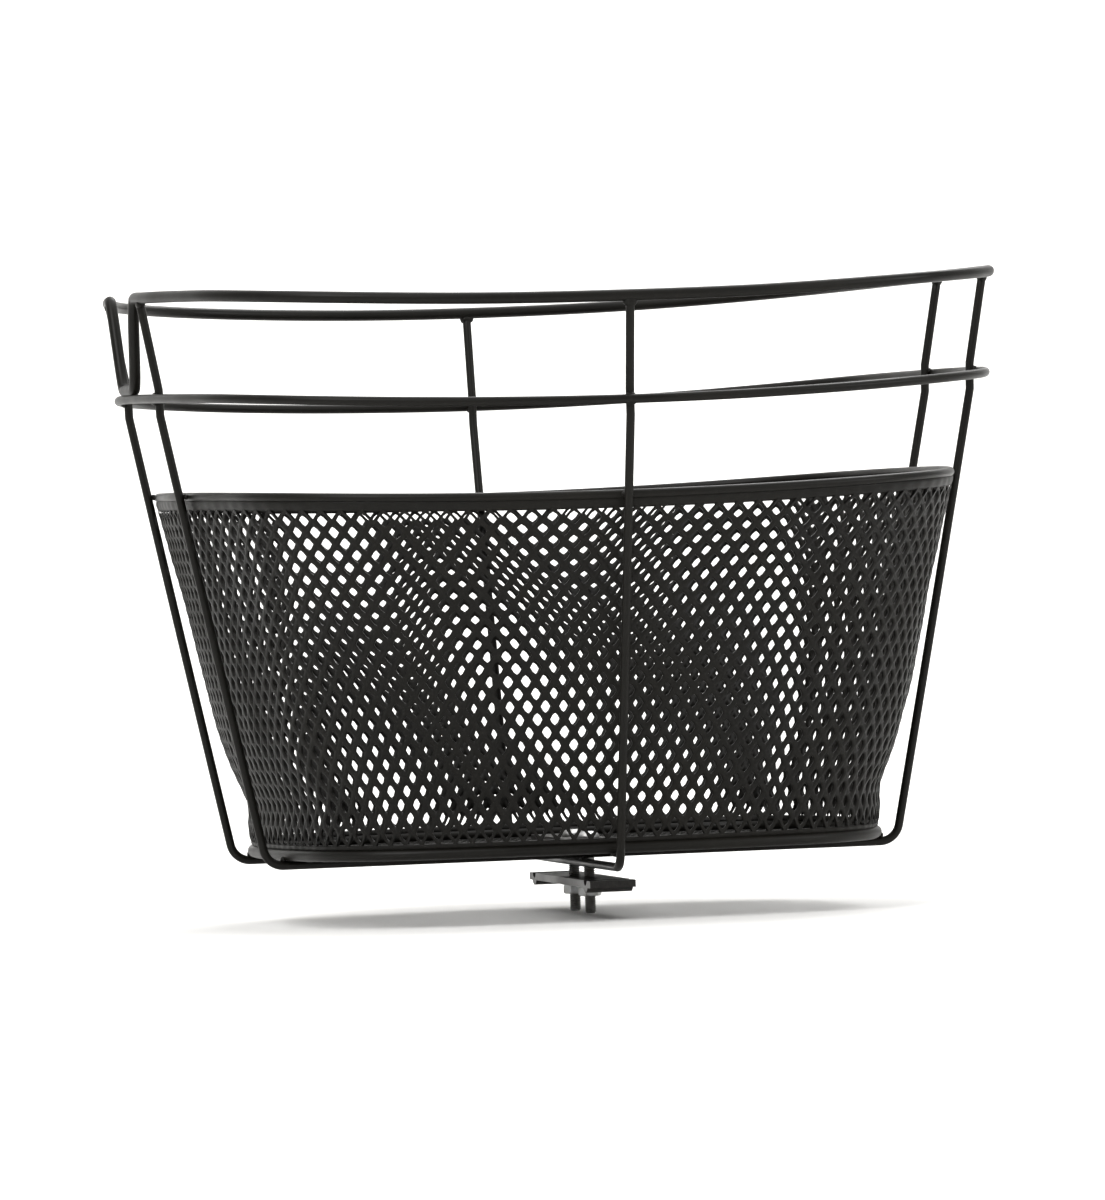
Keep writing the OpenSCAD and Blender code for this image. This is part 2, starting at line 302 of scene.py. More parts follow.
def powder(name, base, rough=0.42, wear=0.0, peel=1.0, dust=0.12, spec=0.15):
    """Satin black powder coat: orange peel, slow colour and gloss changes, faint dust and rubbed high spots."""
    m, nt, b = nodes_of(name)
    L = nt.links.new
    co = add(nt, "ShaderNodeTexCoord").outputs["Object"]
    big = add(nt, "ShaderNodeTexNoise")
    big.inputs["Scale"].default_value = 28
    big.inputs["Detail"].default_value = 4
    L(co, big.inputs["Vector"])
    fine = add(nt, "ShaderNodeTexNoise")
    fine.inputs["Scale"].default_value = 1500
    fine.inputs["Detail"].default_value = 2
    L(co, fine.inputs["Vector"])
    speck = add(nt, "ShaderNodeTexNoise")
    speck.inputs["Scale"].default_value = 420
    speck.inputs["Detail"].default_value = 6
    speck.inputs["Roughness"].default_value = 0.7
    L(co, speck.inputs["Vector"])
    ramp = add(nt, "ShaderNodeValToRGB")
    ramp.color_ramp.elements[0].position = 0.32
    ramp.color_ramp.elements[0].color = (base[0] * 0.72, base[1] * 0.72, base[2] * 0.72, 1)
    ramp.color_ramp.elements[1].position = 0.72
    ramp.color_ramp.elements[1].color = (base[0] * 1.3, base[1] * 1.28, base[2] * 1.22, 1)
    L(big.outputs["Fac"], ramp.inputs["Fac"])
    # dust where noise is high
    dr = add(nt, "ShaderNodeMapRange")
    dr.inputs["From Min"].default_value = 0.55
    dr.inputs["From Max"].default_value = 0.85
    dr.inputs["To Max"].default_value = dust
    L(speck.outputs["Fac"], dr.inputs["Value"])
    mixd = add(nt, "ShaderNodeMix", data_type="RGBA")
    mixd.inputs["B"].default_value = (0.06, 0.056, 0.048, 1)
    L(dr.outputs["Result"], mixd.inputs["Factor"])
    L(ramp.outputs["Color"], mixd.inputs["A"])
    colour = mixd.outputs["Result"]
    if wear > 0:
        geo = add(nt, "ShaderNodeNewGeometry")
        wr = add(nt, "ShaderNodeMapRange")
        wr.inputs["From Min"].default_value = 0.53
        wr.inputs["From Max"].default_value = 0.62
        L(geo.outputs["Pointiness"], wr.inputs["Value"])
        mul = add(nt, "ShaderNodeMath", operation="MULTIPLY")
        L(wr.outputs["Result"], mul.inputs[0])
        L(speck.outputs["Fac"], mul.inputs[1])
        mul2 = add(nt, "ShaderNodeMath", operation="MULTIPLY", use_clamp=True)
        mul2.inputs[1].default_value = wear
        L(mul.outputs[0], mul2.inputs[0])
        mixw = add(nt, "ShaderNodeMix", data_type="RGBA")
        mixw.inputs["B"].default_value = (0.12, 0.115, 0.11, 1)
        L(mul2.outputs[0], mixw.inputs["Factor"])
        L(colour, mixw.inputs["A"])
        colour = mixw.outputs["Result"]
    L(colour, b.inputs["Base Color"])
    rr = add(nt, "ShaderNodeMapRange")
    rr.inputs["From Min"].default_value = 0.3
    rr.inputs["From Max"].default_value = 0.7
    rr.inputs["To Min"].default_value = rough - 0.07
    rr.inputs["To Max"].default_value = rough + 0.12
    L(big.outputs["Fac"], rr.inputs["Value"])
    L(rr.outputs["Result"], b.inputs["Roughness"])
    bump = add(nt, "ShaderNodeBump")
    bump.inputs["Strength"].default_value = 0.16 * peel
    bump.inputs["Distance"].default_value = 0.00012
    L(fine.outputs["Fac"], bump.inputs["Height"])
    L(bump.outputs["Normal"], b.inputs["Normal"])
    b.inputs["Specular IOR Level"].default_value = spec
    return m


def zinc(name, base=(0.55, 0.56, 0.57), rough=0.34):
    m, nt, b = nodes_of(name)
    L = nt.links.new
    co = add(nt, "ShaderNodeTexCoord").outputs["Object"]
    n1 = add(nt, "ShaderNodeTexNoise")
    n1.inputs["Scale"].default_value = 300
    n1.inputs["Detail"].default_value = 5
    L(co, n1.inputs["Vector"])
    ramp = add(nt, "ShaderNodeValToRGB")
    ramp.color_ramp.elements[0].position = 0.3
    ramp.color_ramp.elements[0].color = (base[0] * 0.6, base[1] * 0.58, base[2] * 0.54, 1)
    ramp.color_ramp.elements[1].position = 0.7
    ramp.color_ramp.elements[1].color = (*base, 1)
    L(n1.outputs["Fac"], ramp.inputs["Fac"])
    L(ramp.outputs["Color"], b.inputs["Base Color"])
    b.inputs["Metallic"].default_value = 1.0
    rr = add(nt, "ShaderNodeMapRange")
    rr.inputs["To Min"].default_value = rough - 0.1
    rr.inputs["To Max"].default_value = rough + 0.22
    L(n1.outputs["Fac"], rr.inputs["Value"])
    L(rr.outputs["Result"], b.inputs["Roughness"])
    n2 = add(nt, "ShaderNodeTexNoise")
    n2.inputs["Scale"].default_value = 2200
    L(co, n2.inputs["Vector"])
    bump = add(nt, "ShaderNodeBump")
    bump.inputs["Strength"].default_value = 0.12
    bump.inputs["Distance"].default_value = 0.0001
    L(n2.outputs["Fac"], bump.inputs["Height"])
    L(bump.outputs["Normal"], b.inputs["Normal"])
    return m


BLACK = (0.0050, 0.0046, 0.0036)
m_wire = powder("powder_wire", BLACK, rough=0.38, wear=0.0, peel=1.0, dust=0.10)
m_mesh = powder("powder_mesh", (BLACK[0] * 0.95, BLACK[1] * 0.95, BLACK[2] * 0.95), rough=0.47, wear=0.0, peel=0.8, dust=0.16)
m_weld = powder("powder_weld", (BLACK[0] * 0.9, BLACK[1] * 0.9, BLACK[2] * 0.9), rough=0.46, wear=0.0, peel=2.0, dust=0.14)
m_bar = powder("powder_bar", BLACK, rough=0.40, wear=0.5, peel=1.2, dust=0.10)
m_zinc = zinc("zinc_steel")
m_zinc2 = zinc("zinc_thread", base=(0.26, 0.26, 0.255), rough=0.40)

# ---------------------------------------------------------------- wires


def ring_path(a, b, z, n=420):
    """Points of a closed ring, evenly spaced along it, with the basket's rise at both ends."""
    o = Outline(a, b)
    cum = [0.0]
    for l in o.lens:
        cum.append(cum[-1] + l)
    out = []
    i = 0
    for k in range(n):
        s = o.total * k / n
        while i < 8 and s > cum[i + 1]:
            i += 1
        x, y, _, _ = o.on(i, (s - cum[i]) / o.lens[i])
        out.append(bent(x, y, z))
    return out


def rim_path():
    o = Outline(RIM_A, RIM_B)
    pts = []
    for i, f0 in ((0, 0), (1, 0), (2, 0), (3, 0), (4, 0)):
        n = max(6, int(o.lens[i] / 4))
        for k in range(n):
            x, y, _, _ = o.on(i, k / n)
            if x < 0 and y < DROP_TOP_Y + 5:
                break
            pts.append(Vector((x, y, RIM_Z)))
    steps = 9
    for k in range(steps + 1):
        t = k / steps
        y = DROP_TOP_Y + (DROP_Y - 2 - DROP_TOP_Y) * t
        x = o.xf(y) + (MID_A + MID_OFF - RIM_A) * smooth(t)
        pts.append(Vector((-x, y, RIM_Z + (DROP_Z - RIM_Z) * smooth(t))))
    pts += [Vector((-(MID_A + MID_OFF), 7.0, DROP_Z)), Vector((-(MID_A + MID_OFF), 3.0, DROP_Z))]
    back = [Vector((p.x, -p.y, p.z)) for p in reversed(pts[1:])]
    path = [bent(*p) for p in pts + back]
    return resample(path, 1.6, closed=True)


def half_hoop(x0, xm, xt, zc):
    th = math.atan2(MID_Z - FOOT_Z, xm - x0)
    xp = x0 - (FOOT_Z - zc) / math.tan(th)
    t = BEND_R * math.tan(th / 2)
    ztop = RIM_Z - RIM_D / 2 - GAP
    pts = [(x, zc) for x in range(0, int(xp - t) - 2, 4)]
    pts += [(xp - t + BEND_R * math.sin(th * k / 14), zc + BEND_R * (1 - math.cos(th * k / 14))) for k in range(15)]
    q0 = (xp + t * math.cos(th), zc + t * math.sin(th))
    n = 30
    pts += [(q0[0] + (xm - q0[0]) * k / n, q0[1] + (MID_Z - 5 - q0[1]) * k / n) for k in range(1, n + 1)]
    pts += [(xm + 0.1, MID_Z), (xm + 0.25, MID_Z + 4)]
    pts += [(xm + 0.25 + (xt - xm - 0.25) * k / 8, MID_Z + 4 + (ztop - MID_Z - 4) * k / 8) for k in range(1, 9)]
    return pts


def hoop_path(x0, xm, xt, zc, y, along_y):
    h = half_hoop(x0, xm, xt, zc)
    flat = [(-p[0], y, p[1]) for p in reversed(h[1:])] + [(p[0], y, p[1]) for p in h]
    if along_y:
        flat = [(-q[1], q[0], q[2]) for q in flat]
    return [bent(*q) for q in flat]


def wander(path, amp, scale, seed, closed):
    """Hand-made wire is never perfectly true: slow offsets well under a millimetre."""
    return [p + Vector((wob(p, scale, seed), wob(p, scale, seed + 7), 0.6 * wob(p, scale, seed + 13))) * amp for p in path]


rim = rim_path()
v, f = tube(wander(rim, 0.25, 60, 3, True), RIM_D, (0, 0, 1), True, sides=20)
obj_from("rim_wire_tube", v, f, m_wire, replaces=["rim_wire"])

# the middle ring is welded on a little higher on the left side
midp = [p + Vector((0, 0, 0.8 + 0.4 * p.y / MID_B)) for p in ring_path(MID_A + MID_OFF, MID_B + MID_OFF, MID_Z)]
v, f = tube(wander(midp, 0.25, 60, 5, True), MID_D, (0, 0, 1), True, sides=18)
obj_from("mid_ring_tube", v, f, m_wire, replaces=["mid_ring"])

topp = ring_path(ha(TOP_Z) - TOP_OFF, hb(TOP_Z) - TOP_OFF, TOP_Z)
v, f = tube(topp, TOP_D, (0, 0, 1), True, sides=18)
obj_from("mesh_top_ring_tube", v, f, m_wire, replaces=["mesh_top_ring"])

basep = ring_path(BASE_A, BASE_B, BASE_Z, n=360)
v, f = tube(basep, BASE_D, (0, 0, 1), True, sides=18)
obj_from("base_ring_tube", v, f, m_wire, replaces=["base_ring"])

fx0, fxm, fxt = xf(FOOT_A, FOOT_B, HOOP_Y), xf(MID_A, MID_B, HOOP_Y), xf(RIM_A, RIM_B, HOOP_Y)
for nm, y in (("long_hoop_left", HOOP_Y), ("long_hoop_right", -HOOP_Y)):
    v, f = tube(hoop_path(fx0, fxm, fxt, LONG_Z, y, False), HOOP_D, (0, 1, 0), False, sides=16)
    obj_from(nm + "_tube", v, f, m_wire, replaces=[nm])
v, f = tube(hoop_path(FOOT_B, MID_B, RIM_B, CROSS_Z, 0, True), HOOP_D, (1, 0, 0), False, sides=16)
obj_from("cross_hoop_tube", v, f, m_wire, replaces=["cross_hoop"])

# ---------------------------------------------------------------- weld beads where wires cross


def blob(c, ax, rx, ry, rz, seed):
    """A small lumpy drop of weld: ax is its long direction."""
    z = Vector(ax).normalized()
    x = z.orthogonal().normalized()
    y = z.cross(x)
    verts, faces = [], []
    nu, nv = 14, 8
    verts.append(c + z * rz)
    for i in range(1, nv):
        p = math.pi * i / nv
        for j in range(nu):
            q = 2 * math.pi * j / nu
            d = x * (math.sin(p) * math.cos(q) * rx) + y * (math.sin(p) * math.sin(q) * ry) + z * (math.cos(p) * rz)
            verts.append(c + d * (1 + 0.16 * wob((c + d * 2), 1.6, seed)))
    verts.append(c - z * rz)
    for j in range(nu):
        faces.append((0, 1 + j, 1 + (j + 1) % nu))
        faces.append((len(verts) - 1, 1 + (nv - 2) * nu + (j + 1) % nu, 1 + (nv - 2) * nu + j))
    for i in range(nv - 2):
        for j in range(nu):
            a, b = 1 + i * nu + j, 1 + i * nu + (j + 1) % nu
            faces.append((a, a + nu, b + nu, b))
    return verts, faces


welds = []
seed = 1.0
tops = [(s * fxt, y) for s in (1, -1) for y in (HOOP_Y, -HOOP_Y)] + [(0, s * RIM_B) for s in (1, -1)]
for x, y in tops:
    seed += 1.7
    c = bent(x, y, RIM_Z - RIM_D / 2 - GAP)
    t = Vector((0, 1, 0)) if abs(x) > 1 else Vector((1, 0, 0))
    welds.append(blob(c, t, 1.75, 1.75, 2.5, seed))
mids = [(s * (fxm + 0.1), y, Vector((s, 0, 0))) for s in (1, -1) for y in (HOOP_Y, -HOOP_Y)] + [(0, s * MID_B, Vector((0, s, 0))) for s in (1, -1)]
for x, y, n in mids:
    seed += 1.3
    c = bent(x, y, MID_Z) + n * (HR + 0.05) + Vector((0, 0, 0.8 + 0.4 * y / MID_B))
    for dz in (-1, 1):
        welds.append(blob(c + Vector((0, 0, dz * 1.15)), n.cross(Vector((0, 0, 1))), 1.15, 1.15, 1.9, seed + dz))
for s in (1, -1):
    for y in (HOOP_Y, -HOOP_Y):
        seed += 1.1
        x = s * xf(ha(TOP_Z), hb(TOP_Z), HOOP_Y)
        c = bent(x, y, TOP_Z) - Vector((s * (HR + 0.05), 0, 0))
        welds.append(blob(c, (0, 1, 0), 1.0, 1.2, 2.1, seed))
for s in (1, -1):
    seed += 1.1
    c = bent(0, s * hb(TOP_Z), TOP_Z) - Vector((0, s * (HR + 0.05), 0))
    welds.append(blob(c, (1, 0, 0), 1.2, 1.0, 2.1, seed))
# long hoops on the cross hoop, under the floor, and the floor ring on the hoops
for y in (HOOP_Y, -HOOP_Y):
    seed += 1.9
    welds.append(blob(Vector((0, y, (CROSS_Z + LONG_Z) / 2)), (1, 1, 0), 1.5, 1.5, 1.2, seed))
for s in (1, -1):
    welds.append(blob(Vector((0, s * (BASE_B - 0.2), FLOOR_Z - 0.1)), (1, 0, 0), 1.2, 1.2, 1.9, seed + s))
    for y in (HOOP_Y, -HOOP_Y):
        seed += 0.7
        x = s * (Outline(BASE_A, BASE_B).xf(abs(y)) + 1.4)
        welds.append(blob(Vector((x, y, BASE_Z - 1.4)), (0, 1, 0), 1.1, 1.1, 2.0, seed))
v, f = join(welds)
obj_from("weld_beads", v, f, m_weld)

# ---------------------------------------------------------------- the wall surface


def bump_at(z, c, w):
    return math.exp(-(((z - c) / w) ** 2))


def shape(i, f, z):
    """How far the wall stands outside its straight taper at this place, in mm."""
    x, y, nx, ny = REF.on(i, f)
    end = nx * nx  # 1 at front and rear, 0 at the two sides
    corner = 4 * nx * nx * ny * ny
    d = (0.4 + 0.5 * end) * bump_at(z, 58, 26) - (1.3 + 0.8 * end + 0.6 * corner) * bump_at(z, 23, 12)
    fade = smooth(min(1, max(0, (z - HEM_Z1) / 14))) * smooth(min(1, max(0, (HEM_T0 - z) / 16)))
    p = Vector((x, y, z))
    d += fade * (0.75 * wob(p, 38, 2.0) + 0.5 * wob(p, 17, 9.0) - 0.35)
    # held off by the three hoops, pressed in slightly between them
    return d * fade


def wall(u, z, off=0.0):
    """Point of the wall's outer face, moved inwards by off; u runs round the basket."""
    i, f = split(u)
    o = OUT(z)
    x, y, nx, ny = o.on(i, f)
    s = shape(i, f, z) - off
    return bent(x + nx * s, y + ny * s, z)


_outs = {}


def OUT(z):
    k = round(z, 3)
    if k not in _outs:
        _outs[k] = Outline(wa(z), wb(z))
    return _outs[k]


def wall_normal(u, z):
    i, f = split(u)
    _, _, nx, ny = OUT(z).on(i, f)
    return Vector((nx, ny, -0.2)).normalized()


COLS = 124
ROWS = 25
Z0, Z1 = HEM_Z1 - 1.2, HEM_T0 + 1.2
# half rows get a little lower towards the top, as the strip was drawn out more at the foot
zr = [0.0]
for r in range(ROWS + 1):
    zr.append(zr[-1] + 1.10 - 0.20 * r / ROWS)
zr = [Z0 + (Z1 - Z0) * q / zr[-1] for q in zr]


def zrow(r):
    if r <= 0:
        return zr[0] + r * (zr[1] - zr[0])
    if r >= len(zr) - 1:
        return zr[-1] + (r - len(zr) + 1) * (zr[-1] - zr[-2])
    k = int(r)
    return zr[k] + (zr[k + 1] - zr[k]) * (r - k)


def expanded(cells, where, thick, wrap, opening, lift=0.22):
    """Expanded metal: one rhombic cell per (c, r) centre in half-cell steps, on the surface where(c, r, depth).
    opening(r) gives the opening's share of the cell, and how much of it is left at its side and end corners."""
    verts, faces, index = [], [], {}

    def vert(key, pos):
        if key not in index:
            index[key] = len(verts)
            verts.append(pos)
        return index[key]

    dirs = [(1, 0), (0.5, 0.5), (0, 1), (-0.5, 0.5), (-1, 0), (-0.5, -0.5), (0, -1), (0.5, -0.5)]
    for c, r in cells:
        k, side, end, mid = opening(r)
        outer_f, outer_b, inner_f, inner_b = [], [], [], []
        g = 1 + 0.07 * noise.noise(Vector((c * 0.71, r * 0.53, 4.2)))
        tilt = 0.05 * noise.noise(Vector((c * 0.43, r * 0.67, 9.1)))
        for n, (dx, dy) in enumerate(dirs):
            cc, rr = c + dx, r + dy
            kc = round((cc % wrap) * 2) if wrap else round(cc * 2)
            kr = round(rr * 2)
            # strands stand a little proud between the bonds, which lie flat
            outer_f.append(vert((kc, kr, 0), where(cc, rr, -lift * (1 if n % 2 else 0.2))))
            outer_b.append(vert((kc, kr, 1), where(cc, rr, thick + lift * 0.4)))
            q = mid if n % 2 else (side if dy == 0 else end)
            # the upper half of each opening leans out, the lower half leans in
            lean = -lift * 0.8 * dy
            ic, ir = c + dx * k * g * q + tilt * dy, r + dy * k * g * q
            inner_f.append(len(verts))
            verts.append(where(ic, ir, lean))
            inner_b.append(len(verts))
            verts.append(where(ic, ir, thick + lean))
        for n in range(8):
            m = (n + 1) % 8
            faces.append((outer_f[n], outer_f[m], inner_f[m], inner_f[n]))
            faces.append((outer_b[m], outer_b[n], inner_b[n], inner_b[m]))
            faces.append((inner_f[n], inner_f[m], inner_b[m], inner_b[n]))
    return verts, faces


def wall_cell(c, r, depth):
    return wall((c / 2) / COLS, zrow(r), depth + 0.1)


def wall_opening(r):
    t = r / ROWS
    return 0.61 + 0.05 * t, 0.88 + 0.09 * t, 0.80 + 0.03 * t, 1.03


cells = [((2 * c + (1 if r % 2 else 0)), r) for r in range(1, ROWS + 1) for c in range(COLS)]
v, f = expanded(cells, wall_cell, 0.95, 2 * COLS, wall_opening)
obj_from("expanded_wall", v, f, m_mesh, replaces=["mesh_wall"])

# ---------------------------------------------------------------- the floor, expanded metal cut to the floor ring

FL_A, FL_B = BASE_A - BASE_D / 2 - 0.3, BASE_B - BASE_D / 2 - 0.3
flo = Outline(FL_A, FL_B)


def outside_by(x, y):
    """How far (x, y) is outside the floor's outline, negative inside, and the outward direction there."""
    X, Y = abs(x), abs(y)
    k = (FL_A + FL_B) / 300
    rc, cx, cy = 70 * k, FL_A - 80 * k, FL_B - 80 * k
    pf, ps = flo.arcs[0][4], math.pi / 2 - flo.arcs[1][4]
    fx, fy = flo.fx, flo.arcs[2][1]
    if math.atan2(Y, X - fx) <= pf:
        px, py, r = X - fx, Y, FL_A - fx
    elif math.atan2(X, Y - fy) <= ps:
        px, py, r = X, Y - fy, FL_B - fy
    else:
        px, py, r = X - cx, Y - cy, rc
    d = math.hypot(px, py)
    return d - r, math.copysign(px / d, x), math.copysign(py / d, y)


PX, PY = 3.3, 4.3


def floor_where(c, r, depth):
    x, y = c * PX, r * PY
    d, nx, ny = outside_by(x, y)
    if d > 0:  # cut edge, laid along the ring
        x, y = x - nx * d, y - ny * d
    z = FLOOR_Z + MESH_T - depth + 0.15 * wob(Vector((x, y, 0)), 40, 5.0) - 0.05
    return Vector((x, y, min(FLOOR_Z + MESH_T + 0.02, max(FLOOR_Z + 0.02, z))))


fc = [(c, r) for r in range(-28, 29) for c in range(-36, 37) if (c + r) % 2 == 0 and outside_by(c * PX, r * PY)[0] < 0.6]
v, f = expanded(fc, floor_where, 0.7, 0, lambda r: (0.66, 0.95, 0.82, 1.03), lift=0.1)
obj_from("expanded_floor", v, f, m_mesh, replaces=["mesh_floor"])

# rolled edge strip that closes the cut edge of the floor against the ring
ev, ef = [], []
ne = 360
fo = Outline(FL_A, FL_B)
cumf = [0.0]
for l in fo.lens:
    cumf.append(cumf[-1] + l)
i = 0
eprof = [(1.05, 0.15), (1.1, 0.35), (0.95, 0.6), (0.2, 0.78), (-1.9, 0.8), (-2.2, 0.62), (-2.2, 0.2), (-1.9, 0.02)]
for k in range(ne):
    q = fo.total * k / ne
    while i < 8 and q > cumf[i + 1]:
        i += 1
    x, y, nx, ny = fo.on(i, (q - cumf[i]) / fo.lens[i])
    for d, h in eprof:
        w = 0.12 * wob(Vector((x, y, 0)), 6, 8.0) if d < -1 else 0.0
        ev.append(Vector((x + nx * (d + w), y + ny * (d + w), FLOOR_Z + 0.02 + h)))
m = len(eprof)
for k in range(ne):
    for j in range(m):
        ef.append((k * m + j, ((k + 1) % ne) * m + j, ((k + 1) % ne) * m + (j + 1) % m, k * m + (j + 1) % m))
obj_from("floor_edge", ev, ef, m_mesh)

# ---------------------------------------------------------------- hems


def strip(zlo, zhi, profile, n, grip, seed):
    """Sweeps a closed profile of (share of height, depth) round the wall between two heights."""
    verts, faces = [], []
    m = len(profile)
    for k in range(n):
        u = k / n
        for h, d in profile:
            z = zlo + (zhi - zlo) * h
            p = wall(u, z, d + grip * math.cos(2 * math.pi * COLS * u) * (1 - abs(2 * h - 1)) + 0.12 * wob(Vector((math.cos(u * 6.2832) * 90, math.sin(u * 6.2832) * 90, 0)), 9, seed))
            verts.append(p)
    for k in range(n):
        k2 = (k + 1) % n
        for j in range(m):
            j2 = (j + 1) % m
            faces.append((k * m + j, k2 * m + j, k2 * m + j2, k * m + j2))
    return verts, faces


def fold_profile(t, r=0.7):
    return [(0.0, 0.5), (0.0, t - 0.5), (0.12, t - 0.12), (0.3, t), (0.5, t + 0.03), (0.7, t), (0.88, t - 0.12), (1.0, t - 0.5), (1.0, 0.5), (0.88, 0.12), (0.7, 0.0), (0.5, -0.03), (0.3, 0.0), (0.12, 0.12)]


v, f = strip(HEM_T0, HEM_T1 + 0.5, fold_profile(HEM_T), 992, 0.12, 3.0)
obj_from("top_fold", v, f, m_mesh, replaces=["mesh_top_hem"])
v, f = strip(HEM_Z0 - 0.5, HEM_Z1, fold_profile(HEM_T), 992, 0.12, 6.0)
obj_from("foot_fold", v, f, m_mesh, replaces=["mesh_bottom_hem"])

# ---------------------------------------------------------------- lap strip at the rear, inside, with spot welds

sv, sf = [], []
nz, nw = 90, 12
u0 = 0.5
half = SEAM_W / 2 / REF.total
spots = [20 + 12.5 * k for k in range(9)]


def seam_pt(s, t, depth):
    z = HEM_Z1 + 0.5 + (HEM_T0 - HEM_Z1 - 1.0) * t
    u = u0 + half * (2 * s - 1)
    dent = 0.0
    for zs in spots:
        q = math.hypot((s - 0.5) * SEAM_W, z - zs)
        dent += -0.30 * math.exp(-((q / 1.7) ** 2)) + 0.10 * math.exp(-(((q - 2.6) / 0.8) ** 2))
    edge = 0.18 * (math.exp(-((s / 0.05) ** 2)) + math.exp(-(((1 - s) / 0.05) ** 2)))
    return wall(u, z, MESH_T + 0.55 + depth + (dent - edge if depth > 0 else 0))


for i in range(nz + 1):
    for j in range(nw + 1):
        sv.append(seam_pt(j / nw, i / nz, 0.0))
base = len(sv)
for i in range(nz + 1):
    for j in range(nw + 1):
        sv.append(seam_pt(j / nw, i / nz, 0.8))
W = nw + 1
for i in range(nz):
    for j in range(nw):
        a = i * W + j
        sf.append((a, a + 1, a + 1 + W, a + W))
        b = base + a
        sf.append((b, b + W, b + 1 + W, b + 1))
for i in range(nz):
    a, b = i * W, i * W + nw
    sf.append((a, a + W, base + a + W, base + a))
    sf.append((b + W, b, base + b, base + b + W))
for j in range(nw):
    a, b = j, nz * W + j
    sf.append((a + 1, a, base + a, base + a + 1))
    sf.append((b, b + 1, base + b + 1, base + b))
obj_from("lap_strip", sv, sf, m_mesh, replaces=["mesh_seam"])

# ---------------------------------------------------------------- clamp hardware


def lathe(profile, n=48, centre=(0, 0)):
    verts, faces = [], []
    m = len(profile)
    for k in range(n):
        a = 2 * math.pi * k / n
        for r, z in profile:
            verts.append(Vector((centre[0] + r * math.cos(a), centre[1] + r * math.sin(a), z)))
    for k in range(n):
        k2 = (k + 1) % n
        for j in range(m - 1):
            if profile[j][0] == 0 and profile[j + 1][0] == 0:
                continue
            faces.append((k * m + j, k2 * m + j, k2 * m + j + 1, k * m + j + 1))
    return verts, faces


def clean(o):
    bm = bmesh.new()
    bm.from_mesh(o.data)
    bmesh.ops.remove_doubles(bm, verts=bm.verts, dist=1e-6)
    bmesh.ops.dissolve_degenerate(bm, edges=bm.edges, dist=1e-7)
    bmesh.ops.recalc_face_normals(bm, faces=bm.faces)
    bm.to_mesh(o.data)
    bm.free()
    o.data.update()


plate_top = FLOOR_Z + MESH_T + 0.05 + 2
head_z = plate_top + 0.02
PITCH = 0.7


def bolt(y, name, node):
    cx, cy = CLAMP_X, y
    # threaded shank: a helical ridge swept down the shank
    n, turns = 28, int(BOLT_L / PITCH)
    z_end = head_z - BOLT_L
    plain = 9.0
    verts, faces = [], []
    steps = int((BOLT_L) / (PITCH / 8))
    rows = []
    for i in range(steps + 1):
        z = z_end + BOLT_L * i / steps
        row = []
        for j in range(n):
            a = 2 * math.pi * j / n
            ph = ((z - z_end) / PITCH + a / (2 * math.pi)) % 1.0
            tri = abs(2 * ph - 1)
            r = BOLT_D / 2 - 0.05 - 0.34 * (1 - min(1.0, tri * 1.25))
            if head_z - z < plain:
                r = BOLT_D / 2 - 0.05
            c = min(1.0, (z - z_end) / 0.6)
            r -= 0.5 * (1 - c)
            row.append(Vector((cx + r * math.cos(a), cy + r * math.sin(a), z)))
        rows.append(row)
    for row in rows:
        verts += row
    for i in range(steps):
        for j in range(n):
            k = (j + 1) % n
            faces.append((i * n + j, i * n + k, (i + 1) * n + k, (i + 1) * n + j))
    faces.append(tuple(n - 1 - j for j in range(n)))
    o = obj_from(name + "_shank", verts, faces, m_zinc2, body=BODY, replaces=[node])
    clean(o)
    # pan head with a cross recess
    prof = [(0, 0.0), (3.9, 0.0), (4.0, 0.12), (4.0, 0.7), (3.85, 1.15), (3.4, 1.7), (2.7, 2.15), (1.9, 2.42), (1.2, 2.53), (0, 2.57)]
    v, f = lathe([(r, head_z + z) for r, z in prof], 48, (cx, cy))
    h = obj_from(name + "_head", v, f, m_zinc, body=BODY)
    clean(h)
    cut = bpy.data.meshes.new(name + "_cut")
    w, l = 0.42, 2.2
    plus = [(l, -w), (l, w), (w, w), (w, l), (-w, l), (-w, w), (-l, w), (-l, -w), (-w, -w), (-w, -l), (w, -l), (w, -w)]
    cv = []
    for z, k in ((head_z + 1.1, 0.5), (head_z + 3.2, 1.05)):
        for px, py in plus:
            qx, qy = px * (k if abs(px) > w else 0.5 + 0.5 * k), py * (k if abs(py) > w else 0.5 + 0.5 * k)
            ca, sa = math.cos(0.35), math.sin(0.35)
            cv.append(((cx + qx * ca - qy * sa) * MM, (cy + qx * sa + qy * ca) * MM, z * MM))
    cf = [tuple(11 - j for j in range(12)), tuple(12 + j for j in range(12))]
    cf += [(j, (j + 1) % 12, 12 + (j + 1) % 12, 12 + j) for j in range(12)]
    cut.from_pydata(cv, [], cf)
    co = bpy.data.objects.new(name + "_cut", cut)
    bpy.context.scene.collection.objects.link(co)
    md = h.modifiers.new("recess", "BOOLEAN")
    md.object = co
    md.operation = "DIFFERENCE"
    md.solver = "EXACT"
    dg = bpy.context.evaluated_depsgraph_get()
    new = bpy.data.meshes.new_from_object(h.evaluated_get(dg))
    h.modifiers.clear()
    h.data = new
    bpy.data.objects.remove(co)
    bv = h.modifiers.new("edge", "BEVEL")
    bv.width = 0.12 * MM
    bv.segments = 2
    bv.limit_method = "ANGLE"
    bv.angle_limit = math.radians(40)
    for p in h.data.polygons:
        p.use_smooth = True
    h.data.set_sharp_from_angle(angle=math.radians(40))


bolt(BOLT_Y, "bolt_left", "clamp_bolt_left")
bolt(-BOLT_Y, "bolt_right", "clamp_bolt_right")

